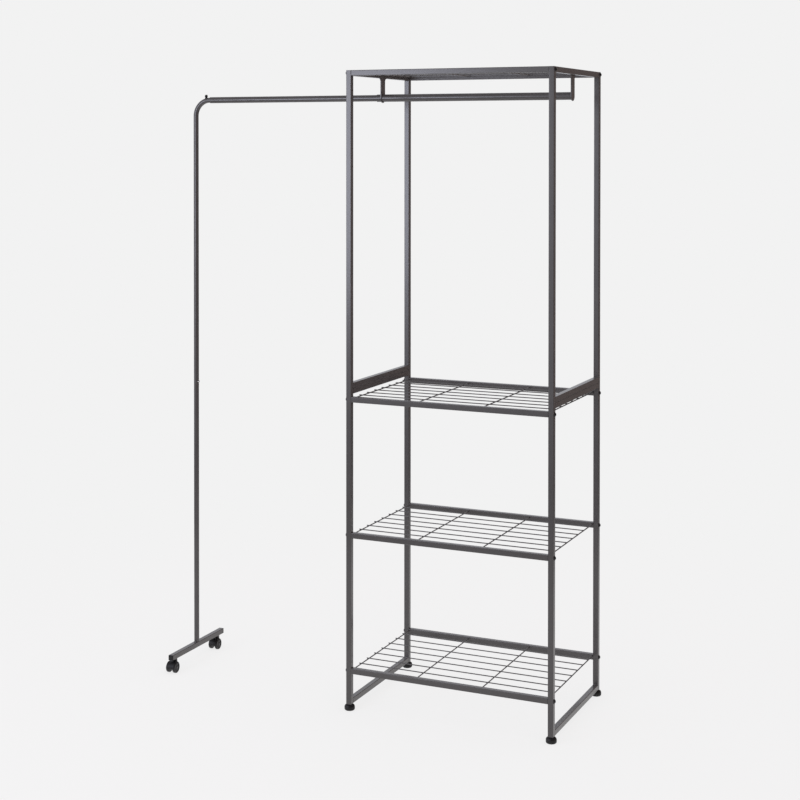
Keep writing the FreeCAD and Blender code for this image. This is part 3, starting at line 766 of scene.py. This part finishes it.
@dataclass
class Bolts:
    """The sixteen domed bolts that hold the rails to the posts."""

    head: float = 6.0 * MM
    height: float = 4.5 * MM
    rim: float = 1.0 * MM
    rim_edge: float = 0.3 * MM
    key: float = 2.2 * MM
    key_depth: float = 2.0 * MM
    key_point: float = 0.5 * MM
    shank: float = 3.0 * MM
    shank_length: float = 8.0 * MM

    def build(self) -> None:
        """Make all the heads as one piece."""
        mesh = bmesh.new()
        for level in Level:
            for end in End:
                rail = Box.of(f"rail_{level}_{end}").middle
                for side in Side:
                    post = Box.of(f"post_upper_{side}_{end}")
                    face = post.high.x if side is Side.RIGHT else post.low.x
                    self.bolt(mesh, (face, rail.y, rail.z), X_AXIS * side.sign)
        make_piece("rail_bolt_heads", mesh, BLACK_OXIDE, "rail_bolts")

    def bolt(self, mesh: BMesh, place: Place, outwards: Vector) -> None:
        """Make one head with its key socket, and a stub of its shank in the post.

        Args:
            mesh: The mesh that gets it.
            place: The middle of the head's seat.
            outwards: Which way the head points.
        """
        dome = self.height - self.rim
        ball = (dome ** 2 + self.head ** 2) / (2.0 * dome)
        low = math.degrees(math.asin((ball - dome) / ball))
        high = math.degrees(math.acos(self.key / ball))
        profile = [(0.0, -self.shank_length), (self.shank, -self.shank_length),
                   (self.shank, 0.0), (self.head - self.rim_edge, 0.0),
                   (self.head, self.rim_edge)]
        profile += arc((0.0, self.height - ball), ball, low, high, steps=6)
        bottom = profile[-1][1] - self.key_depth
        profile += [(self.key, bottom), (0.0, bottom - self.key_point)]
        turned(mesh, profile, place, outwards, steps=24)


@dataclass
class Feet:
    """The four levelling feet."""

    edge: float = 5.0 * MM
    shoulder: float = 8.0 * MM
    stud: float = 4.0 * MM
    stud_length: float = 26.0 * MM

    def build(self) -> None:
        """Make each foot as its own piece."""
        for side in Side:
            for end in End:
                self.foot(f"foot_{side}_{end}")

    def foot(self, node: str) -> None:
        """Make a round foot with an eased sole, a rounded shoulder and a stud.

        Args:
            node: The foot's CAD node.
        """
        box = Box.of(node)
        radius = box.size.x / 2.0
        height = box.size.z - self.stud_length
        sole, shoulder = self.edge, self.shoulder
        profile = [(0.0, 0.0), *arc((radius - sole, sole), sole, -90.0, 0.0, steps=6),
                   *arc((radius - shoulder, height - shoulder), shoulder, 0.0, 90.0, steps=8),
                   (self.stud, height), (self.stud, box.size.z), (0.0, box.size.z)]
        mesh = bmesh.new()
        turned(mesh, profile, (box.middle.x, box.middle.y, box.low.z), steps=48)
        make_piece(f"{node}_pad", mesh, MOULDED_BLACK, node)


@dataclass
class Hanger:
    """The fixed hanging pipe and the two plates that hold it under the top."""

    wall: float = 1.1 * MM
    mouth_edge: float = 0.3 * MM
    plate_edge: float = 0.5 * MM
    neck: float = 14.3 * MM
    flare: float = 8.0 * MM
    flare_drop: float = 16.0 * MM
    clearance: float = 0.1 * MM
    bead: float = 1.3 * MM
    bead_inset: float = 1.0 * MM
    ripples: int = 14

    def build(self) -> None:
        """Make both plates and the pipe."""
        for side in Side:
            self.plate(side)
        make_pipe("hanging_pipe", "hanger_pipe", self.wall, self.mouth_edge)

    def plate(self, side: Side) -> None:
        """Make a plate that flares out at the top bar and rounds the pipe below.

        Args:
            side: Its side; the pipe runs through the left plate and ends on the right one.
        """
        node = f"hanger_bracket_{side}"
        box = Box.of(node)
        pipe = Box.of("hanger_pipe")
        bore, eye = pipe.size.y / 2.0, (0.0, pipe.middle.z)
        high, wide = box.high.z, box.size.y / 2.0
        half = [(0.0, high), (wide, high)]
        half += arc((wide, high - self.flare_drop - self.flare), self.flare, 90.0, 180.0, steps=8)
        half += arc(eye, self.neck, 0.0, -90.0, steps=12)
        if side is Side.LEFT:
            half += arc(eye, bore + self.clearance, -90.0, 90.0, steps=20)
            outlines = [half, [(-y, z) for y, z in reversed(half)]]
        else:
            outlines = [half + [(-y, z) for y, z in reversed(half) if y > MERGE]]
        mesh = bmesh.new()
        slab(mesh, outlines, box.low.x, box.size.x, self.plate_edge)
        bar = Box.of(f"side_bar_{side}_top")
        face = bar.high.x if side is Side.LEFT else bar.low.x
        ends = bar.low.z + self.bead_inset, high - self.bead_inset
        for y in (-wide, wide):
            weld_bead(mesh, *[(face, y, z) for z in ends], self.bead, self.ripples // 2)
        if side is Side.RIGHT:
            ring_bead(mesh, (box.low.x, *eye), X_AXIS, bore, self.bead, self.ripples)
        make_piece(f"hanger_plate_{side}", mesh, FRAME_PAINT, node)


@dataclass
class SlidingLeg:
    """The pipe that slides out and the bent leg in its mouth. Its angle is in degrees."""

    pipe_wall: float = 1.5 * MM
    leg_wall: float = 1.2 * MM
    edge: float = 0.3 * MM
    bend: float = 50.0 * MM
    bore_depth: float = 70.0 * MM
    spigot: float = 6.55 * MM
    spigot_wall: float = 1.0 * MM
    spigot_length: float = 60.0 * MM
    collar: float = 2.0 * MM
    coped: float = 1.4 * MM
    ball: float = 4.8 * MM
    ball_neck: float = 3.6 * MM
    ball_foot: float = 0.9 * MM
    neck_flare: float = 0.25 * MM
    neck_angle: float = 4.0
    button: float = 3.3 * MM
    button_gap: float = 0.2 * MM
    hole_margin: float = 6.0 * MM
    button_dome: float = 1.8 * MM
    button_flange: float = 1.0 * MM
    bead: float = 1.1 * MM
    bead_inset: float = 0.4 * MM
    ripples: int = 14

    def build(self) -> None:
        """Make the pipe, both halves of the leg, the hanger stop and the snap button."""
        make_pipe("sliding_pipe", "slide_pipe", self.pipe_wall, self.edge)
        self.upper_leg()
        self.stop()
        self.lower_leg()
        self.snap_button()

    def upper_leg(self) -> None:
        """Make the bent half: a ring is drawn along the pipe, round the bend and down."""
        box = Box.of("upper_leg")
        radius = box.size.y / 2.0
        level = box.high.z - radius
        start = Vector((box.high.x, 0.0, level))
        centre = Vector((box.low.x + radius + self.bend, 0.0, level - self.bend))
        shrink = (radius - self.edge) / radius
        mesh = bmesh.new()
        ring = bmesh.ops.create_circle(
            mesh, cap_ends=False, segments=40, radius=radius - self.edge,
            matrix=turn_towards(-X_AXIS, start))["verts"]
        first = list({item for vert in ring for item in vert.link_edges})
        rim = grown(mesh, first, -X_AXIS * self.edge, 1.0 / shrink)
        rim = grown(mesh, rim, X_AXIS * (centre.x - start.x + self.edge))
        around = list({vert for item in rim for vert in item.verts})
        bent = bmesh.ops.spin(mesh, geom=around + rim, cent=centre, axis=Y_AXIS,
                              angle=-math.pi / 2.0, steps=24, use_merge=False,
                              use_duplicate=False)["geom_last"]
        rim = [item for item in bent if isinstance(item, BMEdge)]
        button = Box.of("snap_button").middle.z
        heights = [centre.z, button + self.hole_margin, button - self.hole_margin,
                   box.low.z + self.edge]
        for above, below in zip(heights, heights[1:]):
            rim = grown(mesh, rim, Z_AXIS * (below - above))
        rim = grown(mesh, rim, -Z_AXIS * self.edge, shrink)
        rim = grown(mesh, rim, Vector(), (radius - self.leg_wall) / (radius - self.edge))
        rim = grown(mesh, rim, Z_AXIS * self.bore_depth)
        for end in (first, rim):
            bmesh.ops.contextual_create(mesh, geom=end)
        mesh = drilled(mesh, self.drill())
        make_piece("bent_leg_upper_half", mesh, PIPE_PAINT, "upper_leg")

    def drill(self) -> BMesh:
        """Make the shape of the button's hole.

        Returns:
            A round bar from inside the leg outwards.
        """
        mesh = bmesh.new()
        place = Vector((Box.of("lower_leg").middle.x + self.spigot / 2.0, 0.0,
                        Box.of("snap_button").middle.z))
        round_bar(mesh, place, place + X_AXIS * 2.0 * self.spigot,
                  self.button + self.button_gap, self.edge, steps=32)
        return mesh

    def stop(self) -> None:
        """Make the plastic ball that keeps hangers on the pipe, with its neck and foot ring."""
        box = Box.of("hanger_stop")
        leg = Box.of("upper_leg")
        radius = leg.size.y / 2.0
        level = leg.high.z - radius
        place = Vector((box.middle.x, 0.0, level))
        centre = box.high.z - level - self.ball
        drop = math.sqrt(self.ball ** 2 - self.ball_neck ** 2)
        join = math.degrees(math.acos(self.ball_neck / self.ball))
        profile = [(0.0, 0.0), (self.ball_neck, 0.0),
                   (self.ball_neck + self.neck_flare, centre - drop),
                   *arc((0.0, centre), self.ball, self.neck_angle - join, 90.0, steps=12)]
        mesh = bmesh.new()
        turned(mesh, profile, place)
        middle = Vector((leg.low.x + radius + self.bend, 0.0, level - self.bend))
        across = place.x - middle.x
        seat = Vector((across, 0.0, math.sqrt((self.bend + radius) ** 2 - across ** 2)))
        turned(mesh, bead_section(self.ball_neck, self.ball_foot), middle + seat,
               seat.normalized())
        make_piece("hanger_stop_ball", mesh, MOULDED_BLACK, "hanger_stop")

    def lower_leg(self) -> None:
        """Make the half that stands on the base bar, with the spigot that goes up inside."""
        box = Box.of("lower_leg")
        radius = box.size.y / 2.0
        length = box.size.z - self.spigot_length
        bore = radius - self.leg_wall
        inner = self.spigot - self.spigot_wall
        profile = [(bore, -self.coped), (radius, -self.coped), (radius, length - self.edge),
                   (radius - self.edge, length), (self.spigot, length),
                   (self.spigot, box.size.z - self.edge), (self.spigot - self.edge, box.size.z),
                   (inner, box.size.z), (inner, length - self.collar),
                   (bore, length - self.collar)]
        place = (box.middle.x, 0.0, box.low.z)
        mesh = bmesh.new()
        turned(mesh, profile, place, steps=40)
        mesh = drilled(mesh, self.drill())
        ring_bead(mesh, place, Z_AXIS, radius - self.bead_inset, self.bead, self.ripples)
        make_piece("leg_lower_half", mesh, PIPE_PAINT, "lower_leg")

    def snap_button(self) -> None:
        """Make the domed button that snaps through both halves of the leg."""
        box = Box.of("snap_button")
        leg = Box.of("lower_leg").middle.x
        back, tip = box.low.x - leg, box.high.x - leg
        flange, front = box.size.y / 2.0, back + self.button_flange
        ball = (self.button_dome ** 2 + self.button ** 2) / (2.0 * self.button_dome)
        rise = math.degrees(math.asin((ball - self.button_dome) / ball))
        profile = [(0.0, back), (flange, back), (flange, front), (self.button, front),
                   *arc((0.0, tip - ball), ball, rise, 90.0, steps=8)]
        mesh = bmesh.new()
        turned(mesh, profile, (leg, 0.0, box.middle.z), X_AXIS)
        make_piece("snap_button_pin", mesh, NICKEL_PLATE, "snap_button")


@dataclass
class Base:
    """The bar under the leg, its end caps and the sockets for the casters."""

    steel: SquareTube = SquareTube(end_edge=0.3 * MM)
    bore_depth: float = 20.0 * MM
    cap_thickness: float = 3.0 * MM
    cap_edge: float = 1.2 * MM
    plug: float = 6.6 * MM
    plug_depth: float = 12.0 * MM
    plug_edge: float = 0.6 * MM
    socket_bore: float = 4.1 * MM
    socket_edge: float = 0.3 * MM
    bead: float = 1.0 * MM
    ripples: int = 12

    def build(self) -> None:
        """Make the bar, both caps and both sockets."""
        self.bar()
        self.caps()
        self.sockets()

    def bar(self) -> None:
        """Make the square bar, open at both ends."""
        mesh = self.steel.bar(Box.of("base_bar"), ALONG_Y, 2, self.bore_depth)
        make_piece("leg_base_bar", mesh, FRAME_PAINT, "base_bar")

    def caps(self) -> None:
        """Make a pillowed plate over each end of the bar, with a plug that goes inside it."""
        box = Box.of("base_end_caps")
        mesh = bmesh.new()
        reach = (self.cap_thickness + self.plug_depth) / 2.0 - self.cap_edge
        for sign, outer in ((1.0, box.low.y), (-1.0, box.high.y)):
            plate = Vector((box.middle.x, outer + sign * self.cap_thickness / 2.0,
                            box.middle.z))
            eased_block(mesh, plate, (box.size.x, self.cap_thickness, box.size.z),
                        self.cap_edge, segments=3)
            eased_block(mesh, plate + Y_AXIS * sign * reach,
                        (2.0 * self.plug, self.plug_depth, 2.0 * self.plug), self.plug_edge)
        make_piece("base_bar_end_caps", mesh, MOULDED_BLACK, "base_end_caps")

    def sockets(self) -> None:
        """Make the short tubes under the bar, with their welds."""
        box = Box.of("caster_sockets")
        outer = box.size.x / 2.0
        mesh = bmesh.new()
        for y in (box.low.y + outer, box.high.y - outer):
            place = Vector((box.middle.x, y, box.low.z))
            tube(mesh, place, Z_AXIS, box.size.z, outer, self.socket_bore, self.socket_edge,
                 steps=32)
            ring_bead(mesh, place + Z_AXIS * box.size.z, Z_AXIS, outer, self.bead, self.ripples)
        make_piece("caster_socket_tubes", mesh, PIPE_PAINT, "caster_sockets")


@dataclass
class Caster:
    """One twin-wheel caster: a housing with a hood between and over two wheels.

    The hub's dome is given in millimetres, inwards from its rim and below its top.
    """

    end: End
    hood_wall: float = 1.7 * MM
    hood_edge: float = 1.1 * MM
    web: float = 6.4 * MM
    web_edge: float = 0.8 * MM
    web_inset: float = 0.7 * MM
    web_top: float = 0.1 * MM
    toe: float = 4.0 * MM
    tip: float = 9.0 * MM
    tip_drop: float = 1.8 * MM
    trail: float = 14.5 * MM
    below: float = 6.0 * MM
    bore: float = 4.1 * MM
    boss_edge: float = 0.6 * MM
    boss_step: float = 0.2 * MM
    fine_edge: float = 0.3 * MM
    tread_edge: float = 2.0 * MM
    rim: float = 3.5 * MM
    recess: float = 1.2 * MM
    hub: float = 5.0 * MM
    hub_dome: tuple[Point, ...] = ((0.0, 0.7), (0.5, 0.4), (2.5, 0.1), (5.0, 0.0))
    axle: float = 2.6 * MM
    skin: float = 2.5 * MM
    ribs: int = 6
    rib_depth: float = 1.2 * MM
    rib_width: float = 1.6 * MM
    rib_rise: float = 0.2 * MM
    rib_lap: float = 1.0 * MM

    def build(self) -> None:
        """Make the housing and both wheels."""
        self.housing(f"caster_housing_{self.end}")
        for side in Side:
            self.wheel(f"caster_wheel_{self.end}_{side}", side)

    def housing(self, node: str) -> None:
        """Make the hood, the web between the wheels and the boss round the stem.

        Args:
            node: The housing's CAD node.
        """
        box = Box.of(node)
        axle = Box.of(f"caster_axle_{self.end}").middle
        outer = axle.y - box.low.y
        inner = outer - self.hood_wall
        half = box.size.x / 2.0
        edge = self.hood_edge
        hood = [(-half, inner), *arc((edge - half, outer - edge), edge, 180.0, 90.0, steps=4),
                *arc((half - edge, outer - edge), edge, 90.0, 0.0, steps=4), (half, inner)]
        mesh = bmesh.new()
        points = [mesh.verts.new((axle.x + x, axle.y - radius, axle.z)) for x, radius in hood]
        loop = [mesh.edges.new(pair) for pair in zip(points, points[1:] + points[:1])]
        swept = bmesh.ops.spin(mesh, geom=points + loop, cent=axle, axis=X_AXIS, angle=-math.pi,
                               steps=32, use_merge=False, use_duplicate=False)["geom_last"]
        for rim in (loop, [item for item in swept if isinstance(item, BMEdge)]):
            bmesh.ops.contextual_create(mesh, geom=rim)
        web = arc((0.0, 0.0), outer - self.web_inset, 180.0, 92.0, steps=12)
        web += [(0.0, outer - self.web_top), (self.trail, outer - self.web_top),
                (self.trail, -self.below), (-self.toe, -self.below), (-self.tip, -self.tip_drop)]
        slab(mesh, [[(axle.y + y, axle.z + z) for y, z in web]], axle.x - self.web,
             2.0 * self.web, self.web_edge)
        soft, fine, step = self.boss_edge, self.fine_edge, self.boss_step
        top = box.high.z - axle.z
        collar = self.web - soft
        boss = [(self.bore, soft - self.below), (self.bore + soft, -self.below),
                (collar, -self.below), (self.web, soft - self.below), (self.web, outer - step),
                (collar, outer + step), (collar, top - fine), (collar - fine, top),
                (self.bore, top)]
        turned(mesh, boss, axle + Y_AXIS * self.trail, steps=40)
        make_piece(f"caster_hood_{self.end}", mesh, MOULDED_BLACK, node)

    def wheel(self, node: str, side: Side) -> None:
        """Make a wheel with a rounded tread, a sunk face with ribs and a domed hub.

        Args:
            node: The wheel's CAD node.
            side: Which side of the web it turns on.
        """
        box = Box.of(node)
        radius, width = box.size.z / 2.0, box.size.x
        inner = box.high.x if side is Side.LEFT else box.low.x
        place = Vector((inner, box.middle.y, box.middle.z))
        out = X_AXIS * side.sign
        face, rim = width - self.recess, radius - self.rim
        edge, fine = self.tread_edge, self.fine_edge
        profile = [(0.0, width - self.skin), (self.axle, width - self.skin), (self.axle, 0.0),
                   *arc((radius - edge, edge), edge, -90.0, 0.0),
                   *arc((radius - edge, width - edge), edge, 0.0, 90.0),
                   (rim + fine, width), (rim, width - fine), (rim - fine, face),
                   (self.hub + fine, face), (self.hub, face + fine),
                   *[(self.hub - inwards * MM, width - down * MM)
                     for inwards, down in self.hub_dome]]
        mesh = bmesh.new()
        turned(mesh, profile, place, out, steps=56)
        size = (self.rib_depth, self.rib_width, rim - self.hub + self.rib_lap)
        for count in range(self.ribs):
            turn = Matrix.Rotation(2.0 * math.pi * count / self.ribs, 4, "X")
            middle = (place + out * (face + self.rib_rise)
                      + turn @ (Z_AXIS * (rim + self.hub) / 2.0))
            eased_block(mesh, middle, size, fine, 1, turn)
        make_piece(f"{node}_tread", mesh, WHEEL_NYLON, node)


@dataclass(frozen=True)
class Viewpoint:
    """The camera of the photograph, solved from the rack's own edges."""

    place: Vector = field(default_factory=lambda: Vector((2.0300, -4.3057, 1.6457)))
    azimuth: float = 24.36
    pitch: float = -0.786
    roll: float = -0.03
    lens_mm: float = 71.34
    shift_y: float = -0.2963
    clip_end: float = 200.0

    def build(self) -> None:
        """Make the camera and use it for the scene."""
        data = bpy.data.cameras.new("photo_camera")
        data.lens = self.lens_mm
        data.shift_y = self.shift_y
        data.clip_end = self.clip_end
        camera = placed("photo_camera", data)
        camera.location = self.place
        camera.rotation_euler = (math.radians(90.0 + self.pitch), math.radians(self.roll),
                                 math.radians(self.azimuth))
        bpy.context.scene.camera = camera


@dataclass(frozen=True)
class Studio:
    """A seamless pale sweep, with one large soft lamp in front at the left.

    The lamp's glow fades down the posts and towards the right, as satin paint shows it. The
    fill and the gloss are given as their strength at the left and at the right.
    """

    backdrop: str = "f2f2f2"
    floor_colour: str = "e6e6e6"
    floor_half: float = 4.0
    shadow_share: float = 0.12
    shadow_reach: Point = (1.04, 2.6)
    gloss_reach: Point = (1.0, 3.2)
    cool: str = "f4f5fb"
    warm: str = "f6ddd2"
    warm_fill: str = "f6e8e8"
    right_band: Point = (-0.2, 0.25)
    fill: Point = (0.70, 1.20)
    gloss: Point = (0.86, 0.18)
    ceiling_band: Point = (0.4, 0.8)
    ceiling_share: float = 0.45
    lamp_place: Vector = field(default_factory=lambda: Vector((-1.49, -2.81, 1.6)))
    lamp_aim: Vector = field(default_factory=lambda: Vector((0.0, -0.1, 1.4)))
    lamp_colour: str = "e9edff"
    lamp_size: Point = (1.7, 1.45)
    lamp_power: float = 31.0
    top_strength: float = 0.85
    top_angle: float = 90.0

    def build(self) -> None:
        """Make the floor, the world and the lamps."""
        bpy.context.scene.view_settings.view_transform = "Standard"
        self.floor()
        self.world()
        self.soft_lamp()
        self.top_light()

    def floor(self) -> None:
        """Make a wide floor."""
        mesh = bmesh.new()
        bmesh.ops.create_grid(mesh, x_segments=1, y_segments=1, size=self.floor_half)
        floor = solid("floor", mesh)
        floor.data.materials.append(self.paper())

    def paper(self) -> bpy.types.Material:
        """Make the floor's surface: even but for a faint soft shadow, and in gloss dim far away.

        Returns:
            The floor's material.
        """
        paper = bpy.data.materials.new("matt_floor")
        add = empty_tree(paper)
        paper.cycles.emission_sampling = "NONE"
        away = add("VectorMath", (add("TexCoord")["Object"],), operation="LENGTH")["Value"]
        near = add("MapRange", (away, *self.shadow_reach, self.shadow_share, 0.0),
                   interpolation_type="SMOOTHSTEP")["Result"]
        mirrored = add("Math", (away, self.any_ray(add, "Is Glossy Ray")),
                       operation="MULTIPLY")["Value"]
        glow = add("MapRange", (mirrored, *self.gloss_reach, 1.0, self.gloss[1]),
                   interpolation_type="SMOOTHSTEP")["Result"]
        lit = add("BsdfDiffuse", (linear(self.floor_colour),))["BSDF"]
        even = add("Emission", (linear(self.backdrop), glow))["Emission"]
        seen = add("MixShader", (near, even, lit))["Shader"]
        shown = self.any_ray(add, "Is Camera Ray", "Is Glossy Ray", "Is Transmission Ray")
        mixed = add("MixShader", (shown, lit, seen))["Shader"]
        add("OutputMaterial", (mixed,))
        return paper

    def any_ray(self, add: Callable[..., Sockets], *kinds: str) -> bpy.types.NodeSocket:
        """Give 1 for rays of any of some kinds, and 0 for other rays.

        Args:
            add: What adds a node to the tree.
            *kinds: The Light Path node's outputs for the kinds.

        Returns:
            The output that holds the 1 or the 0.
        """
        rays = add("LightPath")
        share = rays[kinds[0]]
        for kind in kinds[1:]:
            share = add("Math", (share, rays[kind]), operation="MAXIMUM")["Value"]
        return share

    def world(self) -> None:
        """Light the rack evenly from all round, with gloss that is dim above and at the right."""
        world = bpy.data.worlds.new("studio")
        bpy.context.scene.world = world
        add = empty_tree(world)
        world.cycles.sampling_method = "NONE"
        way = add("SeparateXYZ", (add("TexCoord")["Generated"],))
        right = add("MapRange", (way["X"], *self.right_band),
                    interpolation_type="SMOOTHSTEP")["Result"]
        above = add("MapRange", (way["Z"], *self.ceiling_band, 1.0, self.ceiling_share))["Result"]
        lights = []
        for ends, warm, dimmer in ((self.fill, self.warm_fill, 1.0),
                                   (self.gloss, self.warm, above)):
            tint = add("Mix", {MIX_FACTOR: right, MIX_FIRST: linear(self.cool),
                               MIX_SECOND: linear(warm)}, data_type="RGBA")[MIX_COLOUR]
            across = add("MapRange", (right, 0.0, 1.0, *ends))["Result"]
            strength = add("Math", (across, dimmer), operation="MULTIPLY")["Value"]
            lights.append(add("Background", (tint, strength))["Background"])
        around = add("MixShader", (self.any_ray(add, "Is Glossy Ray"), *lights))["Shader"]
        plain = add("Background", (linear(self.backdrop), 1.0))["Background"]
        direct = self.any_ray(add, "Is Camera Ray", "Is Transmission Ray")
        mixed = add("MixShader", (direct, around, plain))["Shader"]
        add("OutputWorld", (mixed,))

    def soft_lamp(self) -> None:
        """Add the large soft lamp at the left, in front of the rack's upper half."""
        data = bpy.data.lights.new("soft_lamp", "AREA")
        data.shape = "ELLIPSE"
        data.size, data.size_y = self.lamp_size
        data.energy = self.lamp_power
        data.color = linear(self.lamp_colour)[:3]
        lamp = placed("soft_lamp", data)
        lamp.location = self.lamp_place
        towards = (self.lamp_place - self.lamp_aim).normalized()
        lamp.rotation_euler = Z_AXIS.rotation_difference(towards).to_euler()

    def top_light(self) -> None:
        """Add a broad light from above that leaves no glint."""
        data = bpy.data.lights.new("top_light", "SUN")
        data.energy = self.top_strength
        data.angle = math.radians(self.top_angle)
        placed("top_light", data).visible_glossy = False


def dress_nodes(finish: Finish, *nodes: str) -> None:
    """Give CAD nodes that stay as they are their finish.

    Args:
        finish: What their surface is made of.
        *nodes: The nodes' names.
    """
    for node in nodes:
        item = frame["nodes"][node]
        if not item.material_slots:
            item.data.materials.append(None)
        for slot in item.material_slots:
            slot.link = "OBJECT"
            slot.material = finish.material()
        LOG.info("%s: dressed in %s", node, finish.name)


def main() -> None:
    """Build the rack's sub-assemblies in order."""
    logging.basicConfig(level=logging.INFO, format="%(message)s")
    Viewpoint().build()
    Studio().build()
    for side in Side:
        SideFrame(side).build()
    for level in Level:
        Shelf(level).build()
    Bolts().build()
    Feet().build()
    Hanger().build()
    SlidingLeg().build()
    Base().build()
    for end in End:
        Caster(end).build()
    dress_nodes(MOULDED_BLACK, "foot_inserts", "slide_guide")
    dress_nodes(NICKEL_PLATE, "button_spring", "caster_stems", "caster_axle_front",
                "caster_axle_rear")
    dress_nodes(ZINC_PLATE, "post_joiners", "rail_nuts")


if __name__ == "__main__":
    main()
